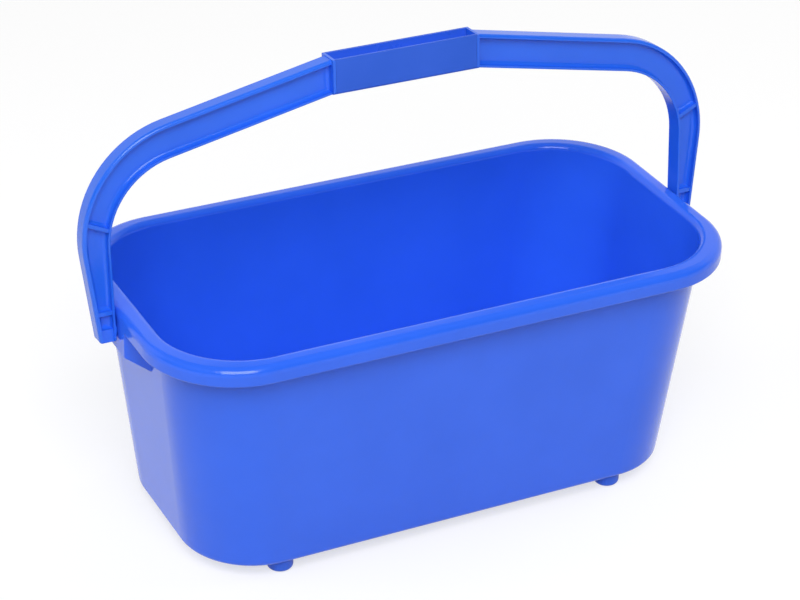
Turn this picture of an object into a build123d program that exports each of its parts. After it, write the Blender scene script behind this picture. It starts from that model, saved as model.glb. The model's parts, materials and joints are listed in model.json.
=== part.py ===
from build123d import *
import os
from math import cos, radians, tan

# Rectangular bucket with a folding handle. Sizes are in millimetres and degrees.
# The bucket stands on its feet at Z = 0, centred on the origin, with its long side along X.

# Tub
rim_length = 430.8
rim_width = 230.4
rim_corner_radius = 65.5
rim_land = 13.9
rim_skirt_depth = 13.8
rim_fall = 1.1
rim_shoulder_radius = 5.5
rim_wall = 2.0
mouth_corner_radius = 56.0
mouth_edge_radius = 4.5
mouth_root_radius = 2.2
skirt_edge_radius = 1.6
tub_height = 175.5
wall = 2.3
floor = 3.0
base_length = 370.4
base_width = 177.5
base_corner_radius = 54.0
base_edge_radius = 4.0
floor_edge_radius = 4.0

# Pivot housings under the rim, one at each end
housing_half_width = 17.0
housing_flare = 6.4
housing_drop = 31.4
housing_rake = 9.2
housing_plate = 3.0
housing_flank = 2.5

# Feet and the spigots that carry them
foot_height = 10.7
foot_radius = 9.2
foot_edge_radius = 3.2
foot_end_inset = 56.2
foot_floor_margin = 0.2
spigot_radius = 4.5
spigot_length = 6.0
spigot_clearance = 0.05

# Handle
handle_lean = 5.0
pivot_drop = 16.9
handle_thickness = 13.6
outer_flange = 2.6
inner_flange = 1.6
web = 3.0
arm_depth = 23.4
arm_slope = 11.2
leg_gap = 1.2
leg_depth = 12.4
leg_taper = 6.4
leg_end = 7.5
leg_end_radius = 2.2
outer_bend_radius = 77.5
inner_bend_radius = 55.5
outer_edge_radius = 2.2
inner_edge_radius = 0.5
web_corner_radius = 2.5
end_block_top = 1.8
end_block_recess = 1.5
rib_recess = 0.7
low_rib = 2.8
high_rib = 2.5
low_rib_height = 12.5
high_rib_height = 76.8
high_rib_tilt = 25.0

# Pivot studs
stud_radius = 4.0
stud_clearance = 0.05
stud_side_clearance = 0.3
stud_collar_radius = 5.6
stud_barb = 0.7
stud_head = 2.0
stud_nose = 1.5

# Hand grip
grip_length = 105.0
grip_underside = 137.7
grip_depth = 24.6
grip_wall = 2.0
grip_clearance = 0.2
grip_edge_radius = 2.0
bulkhead = 2.0
bar_height = 12.0
lug_length = 6.0
lug_reach = 1.0
lug_height = 3.0

# Heights and half sizes that several pieces share
floor_bottom = foot_height
floor_top = floor_bottom + floor
rim_top = floor_bottom + tub_height
land_edge = rim_top - rim_fall
skirt_bottom = rim_top - rim_skirt_depth
rim_end = rim_length / 2
mouth_end = rim_end - rim_land
pivot_height = rim_top - pivot_drop
plate_inside = rim_end - housing_plate
leg_face = rim_end + leg_gap
grip_width = handle_thickness + 2 * (grip_clearance + grip_wall)
grip_end = grip_length / 2 + grip_clearance + bulkhead
cut = 1.0
fine = 0.01


def ring_outline(length, width, radius, height):
    return Plane.XY.offset(height) * RectangleRounded(length, width, radius)


def wall_outline(height, inset):
    """Outline of the tapered wall at a height, drawn in by inset from its outer face."""
    share = (height - floor_bottom) / tub_height
    top_length = rim_length - 2 * rim_land + 2 * wall
    top_width = rim_width - 2 * rim_land + 2 * wall
    top_radius = mouth_corner_radius + wall
    length = base_length + share * (top_length - base_length)
    width = base_width + share * (top_width - base_width)
    radius = base_corner_radius + share * (top_radius - base_corner_radius)
    return ring_outline(length - 2 * inset, width - 2 * inset, radius - inset, height)


def tapered_body(low, high, inset, edge_radius):
    body = loft([wall_outline(low, inset), wall_outline(high, inset)], ruled=True)
    return fillet(body.edges().group_by(Axis.Z)[0], edge_radius)


def rim():
    """Turned-over rim: a land that falls outwards, a round shoulder and a skirt, hollow underneath."""
    run = rim_land + mouth_edge_radius
    low = ring_outline(rim_length, rim_width, rim_corner_radius, land_edge)
    high = ring_outline(
        rim_length - 2 * run,
        rim_width - 2 * run,
        rim_corner_radius - run,
        land_edge + rim_fall * run / rim_land,
    )
    plan = ring_outline(rim_length, rim_width, rim_corner_radius, skirt_bottom)
    block = extrude(plan, land_edge - skirt_bottom) + loft([low, high], ruled=True)
    outer = [edge for edge in block.edges() if abs(edge.center().Z - land_edge) < fine]
    block = fillet(outer, rim_shoulder_radius)
    block = fillet(block.edges().group_by(Axis.Z)[0], skirt_edge_radius)
    inside = ring_outline(
        rim_length - 2 * rim_wall,
        rim_width - 2 * rim_wall,
        rim_corner_radius - rim_wall,
        skirt_bottom - cut,
    )
    hollow = extrude(inside, land_edge - rim_wall - skirt_bottom + cut)
    hollow = fillet(hollow.edges().group_by(Axis.Z)[-1], rim_shoulder_radius - rim_wall)
    return block - hollow


def housing_plan(face, half_width, root):
    """Plan of a pivot housing: a flat outer face with flanks that flare towards the wall."""
    flare = housing_flare / (rim_end - mouth_end)
    root_half = half_width + flare * (face - root)
    return make_face(
        Polyline((face, -half_width), (face, half_width), (root, root_half), (root, -root_half), close=True)
    )


def pivot_housing():
    """Housing at the +X end: a plate flush with the skirt, two flanks, open below."""
    root = mouth_end - wall
    top = land_edge - rim_shoulder_radius
    plate_bottom = rim_top - housing_drop
    rake = housing_rake / (rim_end - mouth_end)
    root_bottom = plate_bottom - rake * (rim_end - root)
    flare = housing_flare / (rim_end - mouth_end)
    flank_across = housing_flank * (1 + flare**2) ** 0.5
    inner_half = housing_half_width + flare * housing_plate - flank_across
    side = make_face(
        Polyline((root, root_bottom), (rim_end, plate_bottom), (rim_end, top), (root, top), close=True)
    )
    height = top - root_bottom
    plan = Plane.XY.offset(root_bottom) * housing_plan(rim_end, housing_half_width, root)
    outside = extrude(plan, height)
    outside = outside & extrude(Plane.XZ * side, rim_width / 2, both=True)
    inside = Plane.XY.offset(root_bottom - cut) * housing_plan(plate_inside, inner_half, root - cut)
    return outside - extrude(inside, height + 2 * cut)


def foot_places():
    x = base_length / 2 - foot_end_inset
    y = base_width / 2 - base_edge_radius - foot_radius - foot_floor_margin
    return {
        "front_left": (-x, -y),
        "front_right": (x, -y),
        "back_left": (-x, y),
        "back_right": (x, y),
    }


def standing_cylinder(radius, height, bottom):
    return Pos(0, 0, bottom) * Cylinder(radius, height, align=(Align.CENTER, Align.CENTER, Align.MIN))


def cross_cylinder(radius, start, end):
    """Cylinder on the pivot axis between two X values."""
    body = Cylinder(radius, end - start, align=(Align.CENTER, Align.CENTER, Align.MIN))
    return Pos(start, 0, 0) * Rot(Y=90) * body


def tub():
    level = land_edge - rim_wall
    body = tapered_body(floor_bottom, level + rim_wall / 2, 0, base_edge_radius) + rim()
    under = [face for face in body.faces().filter_by(Axis.Z) if abs(face.center().Z - level) < fine]
    body = fillet(under[0].inner_wires()[0].edges(), mouth_root_radius)
    housing = pivot_housing()
    body = body + housing + mirror(housing, about=Plane.YZ)
    body = body - tapered_body(floor_top, rim_top + cut, wall, floor_edge_radius)
    bore = cross_cylinder(stud_radius + stud_clearance, plate_inside - cut, rim_end + cut)
    bore = Pos(0, 0, pivot_height) * bore
    body = body - bore - mirror(bore, about=Plane.YZ)
    for x, y in foot_places().values():
        spigot = standing_cylinder(spigot_radius, spigot_length + floor / 2, floor_bottom - spigot_length)
        body = body + Pos(x, y, 0) * spigot
    mouth = [edge for edge in body.edges() if edge.center().Z > rim_top - rim_fall / 4]
    return fillet(mouth, mouth_edge_radius)


def foot(x, y):
    body = standing_cylinder(foot_radius, foot_height, 0)
    body = fillet(body.edges().group_by(Axis.Z)[0], foot_edge_radius)
    socket = standing_cylinder(
        spigot_radius + spigot_clearance,
        spigot_length + spigot_clearance + cut,
        foot_height - spigot_length - spigot_clearance,
    )
    return Pos(x, y, 0) * (body - socket)


def inner_line(inset, bottom):
    """Inner side line of the +X arm above the pivot, from the grip round the bend and down the leg."""
    start = grip_underside + inset / cos(radians(arm_slope))
    side = leg_face + inset
    corner = (side, start - tan(radians(arm_slope)) * (side - grip_end))
    return FilletPolyline((grip_end, start), corner, (side, bottom), radius=inner_bend_radius + inset)


def outer_line(inset, bottom, start, end_radius):
    """Outer side line of the +X arm, from a start on the leg's end round the bend and to the grip."""
    slope = tan(radians(arm_slope))
    taper = tan(radians(leg_taper))
    top = grip_underside + (arm_depth - inset) / cos(radians(arm_slope))
    side = leg_face + leg_depth - inset / cos(radians(leg_taper))
    bend_height = (top - slope * (side - grip_end)) / (1 + slope * taper)
    points = [
        (start, bottom),
        (side + taper * bottom, bottom),
        (side + taper * bend_height, bend_height),
        (grip_end, top),
    ]
    return FilletPolyline(points, radius=[end_radius, outer_bend_radius - inset])


def arm_outline(inner_inset, outer_inset, bottom, end_radius):
    """Side outline of the +X arm, drawn in from its inner and outer sides."""
    inner = inner_line(inner_inset, bottom)
    outer = outer_line(outer_inset, bottom, leg_face + inner_inset, end_radius)
    return Plane.XZ * make_face(inner.edges() + outer.edges() + [Line(outer @ 1, inner @ 0)])


def leg_rib(height, thickness, tilt):
    """Rib across the leg at a height above the pivot, a little lower than the flanges."""
    middle = leg_face + (leg_depth + height * tan(radians(leg_taper))) / 2
    depth = handle_thickness - 2 * rib_recess
    return Pos(middle, 0, height) * Rot(Y=-tilt) * Box(2 * arm_depth, depth, thickness)


def arm_pockets():
    """What is cut from the arm's two faces, with round corners along the web."""
    outline = arm_outline(inner_flange, outer_flange, -leg_end - cut, 0)
    pockets = extrude(outline, handle_thickness, both=True)
    pockets = pockets - Box(4 * leg_face, web, 4 * grip_underside)
    pockets = pockets - leg_rib(low_rib_height + low_rib / 2, low_rib, 0)
    pockets = pockets - leg_rib(high_rib_height, high_rib, high_rib_tilt)
    end_block = Box(
        4 * leg_face,
        handle_thickness - 2 * end_block_recess,
        leg_end + end_block_top + 2 * cut,
        align=(Align.CENTER, Align.CENTER, Align.MAX),
    )
    pockets = pockets - Pos(0, 0, end_block_top) * end_block
    deep = [edge for edge in pockets.edges() if abs(abs(edge.center().Y) - web / 2) < fine]
    return fillet(deep, web_corner_radius)


def outline_edges(beam, inner):
    """Edges round the beam's two faces: those on its inner side, or those on its outer side and end."""
    line = inner_line(0, -leg_end)
    faces = beam.faces().sort_by(Axis.Y)
    chosen = []
    for edge in faces[0].edges() + faces[-1].edges():
        place = edge.center()
        on_line = line.distance_to((place.X, place.Z, 0)) < fine
        if on_line == inner and place.X > grip_end + fine:
            chosen.append(edge)
    return chosen


def arm():
    """I-section arm: a round outer flange, a thin inner one, a web between, two ribs and an end block."""
    beam = extrude(arm_outline(0, 0, -leg_end, leg_end_radius), handle_thickness / 2, both=True)
    beam = fillet(outline_edges(beam, inner=False), outer_edge_radius)
    beam = fillet(outline_edges(beam, inner=True), inner_edge_radius)
    return beam - arm_pockets()


def stud():
    """Snap-in pivot stud on the inside of the +X arm: collar, shaft and barbed head."""
    head_back = plate_inside - stud_side_clearance
    head_front = head_back - stud_head
    barb_radius = stud_radius + stud_barb
    root = leg_face + inner_edge_radius
    body = cross_cylinder(stud_collar_radius, rim_end + stud_side_clearance, root)
    body = body + cross_cylinder(stud_radius, head_front, root)
    body = body + cross_cylinder(barb_radius, head_front, head_back)
    tip_radius = stud_radius - stud_barb
    nose = Cone(barb_radius, tip_radius, stud_nose, align=(Align.CENTER, Align.CENTER, Align.MIN))
    return body + Pos(head_front, 0, 0) * Rot(Y=-90) * nose


def grip_block(length):
    """Block with the hand grip's outer section, centred on X."""
    block = Box(length, grip_width, grip_depth, align=(Align.CENTER, Align.CENTER, Align.MIN))
    low_edges = block.edges().filter_by(Axis.X).group_by(Axis.Z)[0]
    return Pos(0, 0, grip_underside) * fillet(low_edges, grip_edge_radius)


def in_place(body):
    """Sets a handle piece on the pivot axis, leaning back."""
    return Pos(0, 0, pivot_height) * Rot(X=-handle_lean) * body


def handle_bail():
    side = arm() + stud() + Pos(grip_end - bulkhead / 2, 0, 0) * grip_block(bulkhead)
    bar = Box(
        2 * grip_end - bulkhead,
        handle_thickness,
        bar_height,
        align=(Align.CENTER, Align.CENTER, Align.MIN),
    )
    bar = Pos(0, 0, grip_underside + grip_wall + grip_clearance) * bar
    return in_place(side + mirror(side, about=Plane.YZ) + bar)


def grip_lug():
    """Snap lug on the grip's +Y wall, which hooks over the bar."""
    wall_face = grip_width / 2 - grip_wall
    bottom = grip_underside + grip_wall + bar_height + 2 * grip_clearance
    section = make_face(
        Polyline(
            (wall_face + grip_wall / 2, bottom),
            (wall_face - lug_reach, bottom),
            (wall_face, bottom + lug_height),
            (wall_face + grip_wall / 2, bottom + lug_height),
            close=True,
        )
    )
    return extrude(Plane.YZ * section, lug_length / 2, both=True)


def handle_grip():
    """Open trough that hugs the bar from below, held by three snap lugs on each wall."""
    trough = Box(
        grip_length + 2 * cut,
        grip_width - 2 * grip_wall,
        grip_depth,
        align=(Align.CENTER, Align.CENTER, Align.MIN),
    )
    body = grip_block(grip_length) - Pos(0, 0, grip_underside + grip_wall) * trough
    for quarter in (-1, 0, 1):
        lug = Pos(quarter * grip_length / 4, 0, 0) * grip_lug()
        body = body + lug + mirror(lug, about=Plane.XZ)
    return in_place(body)


def save(shape, node):
    export_step(shape, f"parts/{node}.step")


os.makedirs("parts", exist_ok=True)
save(tub(), "tub")
for corner, (foot_x, foot_y) in foot_places().items():
    save(foot(foot_x, foot_y), f"foot_{corner}")
save(handle_bail(), "handle_bail")
save(handle_grip(), "handle_grip")
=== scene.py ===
import json
import math

import bpy
from mathutils import Matrix, Vector

# Rectangular bucket in a plain white studio. Lengths are in metres, colours are linear.

# Camera
image_width = 800
focal_pixels = 2641.25
sensor_width = 36.0
camera_azimuth = -26.89
camera_elevation = 29.24
camera_roll = 1.39
camera_target = Vector((-0.00134, 0.00412, 0.13914))
camera_distance = 1.8568

# Blues of the moulded pieces, each as a darker and a lighter shade
tub_blues = ((0.025, 0.129, 0.82), (0.029, 0.141, 0.88))
bail_blues = ((0.018, 0.130, 0.76), (0.022, 0.144, 0.82))
grip_blues = ((0.024, 0.106, 0.60), (0.032, 0.121, 0.67))
# Inside of the grip's trough: painted light, a lighter blue than the grip's outside
trough_painted_light_blues = ((0.031, 0.128, 0.74), (0.037, 0.140, 0.80))
# Feet: painted shade, a darker blue than the tub's for the shade under the tub
shaded_foot_blues = ((0.024, 0.118, 0.68), (0.030, 0.132, 0.76))

# Surface of the plastic: noise scales per metre, depths in metres, and the span of a noise value that is used
noise_low = 0.3
noise_high = 0.7
cloud_scale = 14.0
cloud_detail = 3.0
patch_scale = 45.0
patch_detail = 4.0
wave_scale = 16.0
wave_detail = 0.0
wave_depth = 0.0012
wave_strength = 0.15
skin_detail = 1.0
skin_strength = 0.35

# Inside of the hand grip's trough, given painted light: nearer to its middle than trough_half_width, higher
# over the pivot than trough_floor, both measured in the handle's frame, which leans back by handle_lean
# degrees
handle_lean = 5.0
trough_half_width = 0.0075
trough_floor = 0.139

# Floor: its glow grows to 1 from floor_lit to floor_dark, where the lamps' light gets weaker
white = (1, 1, 1, 1)
floor_size = 60.0
floor_bounce = 0.70
floor_shade = 0.36
floor_glow = 0.66
floor_lit = 1.0
floor_dark = 5.0

# World: levels, and the parts of a unit direction over which one level turns into the next
backdrop_level = 0.94
backdrop_way = Vector((0.3, 1.0, 0.0))
backdrop_edge = (-0.05, 0.45)
ceiling_level = 0.17
ceiling_edge = (0.55, 0.85)
horizon_edge = (0.13, 0.2)

# Lamps
panel_distance = 3.5
aim = Vector((0.0, 0.0, 0.1))


def add_node(tree, kind, **inputs):
    node = tree.nodes.new(kind)
    for name, value in inputs.items():
        node.inputs[name.replace("_", " ")].default_value = value
    return node


def calculate(tree, operation, *values):
    """Result of one math step on sockets and plain numbers."""
    node = tree.nodes.new("ShaderNodeMath")
    node.operation = operation
    for socket, value in zip(node.inputs, values):
        if isinstance(value, float):
            socket.default_value = value
        else:
            tree.links.new(value, socket)
    return node.outputs["Value"]


def noise(tree, place, scale, detail):
    node = add_node(tree, "ShaderNodeTexNoise", Scale=scale, Detail=detail)
    tree.links.new(place.outputs["Object"], node.inputs["Vector"])
    return node


def ramp(tree, source, low, high):
    """Turns a noise value into a colour between low and high."""
    node = tree.nodes.new("ShaderNodeValToRGB")
    node.color_ramp.elements[0].position = noise_low
    node.color_ramp.elements[0].color = (*low, 1)
    node.color_ramp.elements[1].position = noise_high
    node.color_ramp.elements[1].color = (*high, 1)
    tree.links.new(source.outputs["Fac"], node.inputs["Fac"])
    return node


def spread(tree, source, low, high):
    """Turns a noise value into a number between low and high."""
    span = {"From_Min": noise_low, "From_Max": noise_high, "To_Min": low, "To_Max": high}
    node = add_node(tree, "ShaderNodeMapRange", **span)
    tree.links.new(source.outputs["Fac"], node.inputs["Value"])
    return node


def bump(tree, source, distance, strength, under=None):
    node = add_node(tree, "ShaderNodeBump", Distance=distance, Strength=strength)
    tree.links.new(source.outputs["Fac"], node.inputs["Height"])
    if under:
        tree.links.new(under.outputs["Normal"], node.inputs["Normal"])
    return node


def moulded_plastic(name, blues, ior, roughness, grain_scale, grain_depth):
    """Injection-moulded polypropylene: cloudy colour, uneven gloss, slight waves and a fine skin."""
    material = bpy.data.materials.new(name)
    material.use_nodes = True
    tree = material.node_tree
    shader = tree.nodes["Principled BSDF"]
    shader.inputs["IOR"].default_value = ior
    place = tree.nodes.new("ShaderNodeTexCoord")
    clouds = noise(tree, place, cloud_scale, cloud_detail)
    colour = ramp(tree, clouds, *blues)
    tree.links.new(colour.outputs["Color"], shader.inputs["Base Color"])
    patches = noise(tree, place, patch_scale, patch_detail)
    gloss = spread(tree, patches, *roughness)
    tree.links.new(gloss.outputs["Result"], shader.inputs["Roughness"])
    waves = bump(tree, noise(tree, place, wave_scale, wave_detail), wave_depth, wave_strength)
    skin = bump(tree, noise(tree, place, grain_scale, skin_detail), grain_depth, skin_strength, waves)
    tree.links.new(skin.outputs["Normal"], shader.inputs["Normal"])
    return material


def smooth_and_painted_light_inside(material, pivot, blues, roughness):
    """Gives the inside of the hand grip's trough a smoother finish than its textured outside, and painted
    light: a lighter blue than the outside's.
    """
    tree = material.node_tree
    shader = tree.nodes["Principled BSDF"]
    place = tree.nodes.new("ShaderNodeTexCoord")
    upright = Matrix.Rotation(math.radians(handle_lean), 3, "X")
    turned = add_node(tree, "ShaderNodeMapping", Location=-(upright @ pivot), Rotation=upright.to_euler())
    tree.links.new(place.outputs["Object"], turned.inputs["Vector"])
    split = tree.nodes.new("ShaderNodeSeparateXYZ")
    tree.links.new(turned.outputs["Vector"], split.inputs["Vector"])
    across = calculate(tree, "ABSOLUTE", split.outputs["Y"])
    between = calculate(tree, "LESS_THAN", across, trough_half_width)
    above = calculate(tree, "GREATER_THAN", split.outputs["Z"], trough_floor)
    inside = calculate(tree, "MULTIPLY", between, above)
    colour = ramp(tree, noise(tree, place, cloud_scale, cloud_detail), *blues)
    gloss = spread(tree, noise(tree, place, patch_scale, patch_detail), *roughness)
    # Mixes in the painted light colour and the smoother roughness inside the trough
    for name, inside_value in (("Base Color", colour.outputs["Color"]), ("Roughness", gloss.outputs["Result"])):
        socket = shader.inputs[name]
        mix = tree.nodes.new("ShaderNodeMixRGB")
        tree.links.new(inside, mix.inputs["Fac"])
        tree.links.new(socket.links[0].from_socket, mix.inputs["Color1"])
        tree.links.new(inside_value, mix.inputs["Color2"])
        tree.links.new(mix.outputs["Color"], socket)


def dress(node, material):
    piece = frame["nodes"][node]
    piece.data.materials.clear()
    piece.data.materials.append(material)


def seen_or_mirrored(tree):
    """1 for camera, glossy and transmission rays, 0 for the rays that light the object."""
    path = tree.nodes.new("ShaderNodeLightPath")
    total = path.outputs["Is Camera Ray"]
    for ray in ("Is Glossy Ray", "Is Transmission Ray"):
        total = calculate(tree, "MAXIMUM", total, path.outputs[ray])
    return total


def fade(tree, source, start, end, low, high):
    """Number that runs smoothly from low to high while the source runs from start to end."""
    node = add_node(tree, "ShaderNodeMapRange", From_Min=start, From_Max=end, To_Min=low, To_Max=high)
    node.interpolation_type = "SMOOTHSTEP"
    tree.links.new(source, node.inputs["Value"])
    return node.outputs["Result"]


def add_floor():
    """White floor: it shows white where no shadow falls, also beyond the reach of the lamps."""
    bpy.ops.mesh.primitive_plane_add(size=floor_size)
    floor = bpy.context.object
    floor.name = "floor"
    material = bpy.data.materials.new("white_floor")
    material.use_nodes = True
    tree = material.node_tree
    tree.nodes.remove(tree.nodes["Principled BSDF"])
    bounce = add_node(tree, "ShaderNodeBsdfDiffuse", Color=(floor_bounce, floor_bounce, floor_bounce, 1))
    shade = add_node(tree, "ShaderNodeBsdfDiffuse", Color=(floor_shade, floor_shade, floor_shade, 1))
    glow = add_node(tree, "ShaderNodeEmission", Color=white)
    place = tree.nodes.new("ShaderNodeTexCoord")
    distance = tree.nodes.new("ShaderNodeVectorMath")
    distance.operation = "LENGTH"
    tree.links.new(place.outputs["Object"], distance.inputs[0])
    strength = fade(tree, distance.outputs["Value"], floor_lit, floor_dark, floor_glow, 1.0)
    tree.links.new(strength, glow.inputs["Strength"])
    shown = tree.nodes.new("ShaderNodeAddShader")
    tree.links.new(shade.outputs[0], shown.inputs[0])
    tree.links.new(glow.outputs[0], shown.inputs[1])
    choice = tree.nodes.new("ShaderNodeMixShader")
    tree.links.new(seen_or_mirrored(tree), choice.inputs[0])
    tree.links.new(bounce.outputs[0], choice.inputs[1])
    tree.links.new(shown.outputs[0], choice.inputs[2])
    tree.links.new(choice.outputs[0], tree.nodes["Material Output"].inputs["Surface"])
    floor.data.materials.append(material)


def add_world():
    """White backdrop behind the object, a dark room in front above a white horizon, and a dim ceiling."""
    world = bpy.data.worlds.new("studio")
    bpy.context.scene.world = world
    world.use_nodes = True
    tree = world.node_tree
    place = tree.nodes.new("ShaderNodeTexCoord")
    split = tree.nodes.new("ShaderNodeSeparateXYZ")
    tree.links.new(place.outputs["Generated"], split.inputs["Vector"])
    facing = tree.nodes.new("ShaderNodeVectorMath")
    facing.operation = "DOT_PRODUCT"
    facing.inputs[1].default_value = backdrop_way
    tree.links.new(place.outputs["Generated"], facing.inputs[0])
    walls = fade(tree, facing.outputs["Value"], *backdrop_edge, 0.0, backdrop_level)
    height = fade(tree, split.outputs["Z"], *ceiling_edge, 0.0, 1.0)
    level = add_node(tree, "ShaderNodeMix", B=ceiling_level)
    tree.links.new(height, level.inputs["Factor"])
    tree.links.new(walls, level.inputs["A"])
    low = fade(tree, split.outputs["Z"], *horizon_edge, 1.0, 0.0)
    horizon = calculate(tree, "MULTIPLY", low, seen_or_mirrored(tree))
    strength = calculate(tree, "MAXIMUM", level.outputs["Result"], horizon)
    background = tree.nodes["Background"]
    background.inputs["Color"].default_value = white
    tree.links.new(strength, background.inputs["Strength"])


def add_panel(name, azimuth, elevation, width, height, brightness, mirrored=True):
    """Soft light panel that faces the object. Azimuth 0 is the front and 90 the right end.

    Where mirrored is off, the panel lights the object and doesn't show in its gloss.
    """
    turn = math.radians(azimuth)
    rise = math.radians(elevation)
    level = math.cos(rise)
    way = Vector((math.sin(turn) * level, -math.cos(turn) * level, math.sin(rise)))
    data = bpy.data.lights.new(name, "AREA")
    data.shape = "RECTANGLE"
    data.size = width
    data.size_y = height
    data.energy = brightness * math.pi * width * height
    panel = bpy.data.objects.new(name, data)
    panel.location = aim + way * panel_distance
    panel.rotation_euler = way.to_track_quat("Z", "Y").to_euler()
    panel.visible_glossy = mirrored
    bpy.context.scene.collection.objects.link(panel)


def add_camera():
    azimuth = math.radians(camera_azimuth)
    elevation = math.radians(camera_elevation)
    roll = math.radians(camera_roll)
    level = math.cos(elevation)
    back = Vector((math.sin(azimuth) * level, -math.cos(azimuth) * level, math.sin(elevation)))
    right = Vector((math.cos(azimuth), math.sin(azimuth), 0))
    up = back.cross(right)
    turned_right = right * math.cos(roll) + up * math.sin(roll)
    turned_up = up * math.cos(roll) - right * math.sin(roll)
    data = bpy.data.cameras.new("camera")
    data.sensor_width = sensor_width
    data.lens = focal_pixels / image_width * sensor_width
    camera = bpy.data.objects.new("camera", data)
    turn = Matrix((turned_right, turned_up, back)).transposed()
    camera.matrix_world = Matrix.Translation(camera_target + back * camera_distance) @ turn.to_4x4()
    bpy.context.scene.collection.objects.link(camera)
    bpy.context.scene.camera = camera


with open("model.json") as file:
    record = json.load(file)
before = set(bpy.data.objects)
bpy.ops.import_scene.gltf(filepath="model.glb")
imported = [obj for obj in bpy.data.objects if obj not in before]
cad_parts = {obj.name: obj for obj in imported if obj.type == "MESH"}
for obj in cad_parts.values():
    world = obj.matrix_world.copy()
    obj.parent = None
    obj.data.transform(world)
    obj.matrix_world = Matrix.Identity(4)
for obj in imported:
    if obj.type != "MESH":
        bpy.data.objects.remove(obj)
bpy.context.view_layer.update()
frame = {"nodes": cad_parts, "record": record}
bpy.context.scene.view_settings.view_transform = "Standard"

tub_plastic = moulded_plastic(
    "tub_plastic", tub_blues, ior=1.42, roughness=(0.13, 0.18), grain_scale=170.0, grain_depth=0.00003
)
bail_plastic = moulded_plastic(
    "bail_plastic", bail_blues, ior=1.40, roughness=(0.15, 0.21), grain_scale=170.0, grain_depth=0.00003
)
grip_plastic = moulded_plastic(
    "grip_plastic", grip_blues, ior=1.36, roughness=(0.52, 0.66), grain_scale=1600.0, grain_depth=0.00012
)
# The feet's darker blue is painted shade
foot_plastic = moulded_plastic(
    "foot_plastic", shaded_foot_blues, ior=1.43, roughness=(0.38, 0.50), grain_scale=1200.0, grain_depth=0.00008
)
handle_pivot = Vector(frame["record"]["behaviour"]["joints"][0]["pos_m"])
# Painted light: the trough's inside gets a lighter blue, as well as a smoother finish
smooth_and_painted_light_inside(grip_plastic, handle_pivot, trough_painted_light_blues, roughness=(0.25, 0.35))
dress("tub", tub_plastic)
dress("handle_bail", bail_plastic)
dress("handle_grip", grip_plastic)
for corner in ("front_left", "front_right", "back_left", "back_right"):
    dress(f"foot_{corner}", foot_plastic)

add_floor()
add_world()
add_panel("key", azimuth=-21.0, elevation=46.4, width=2.0, height=1.95, brightness=8.2)
add_panel(
    "left_panel", azimuth=-87.2, elevation=40.1, width=3.28, height=1.49, brightness=2.2, mirrored=False
)
add_panel(
    "right_panel", azimuth=86.3, elevation=35.4, width=2.26, height=2.14, brightness=1.9, mirrored=False
)
add_camera()
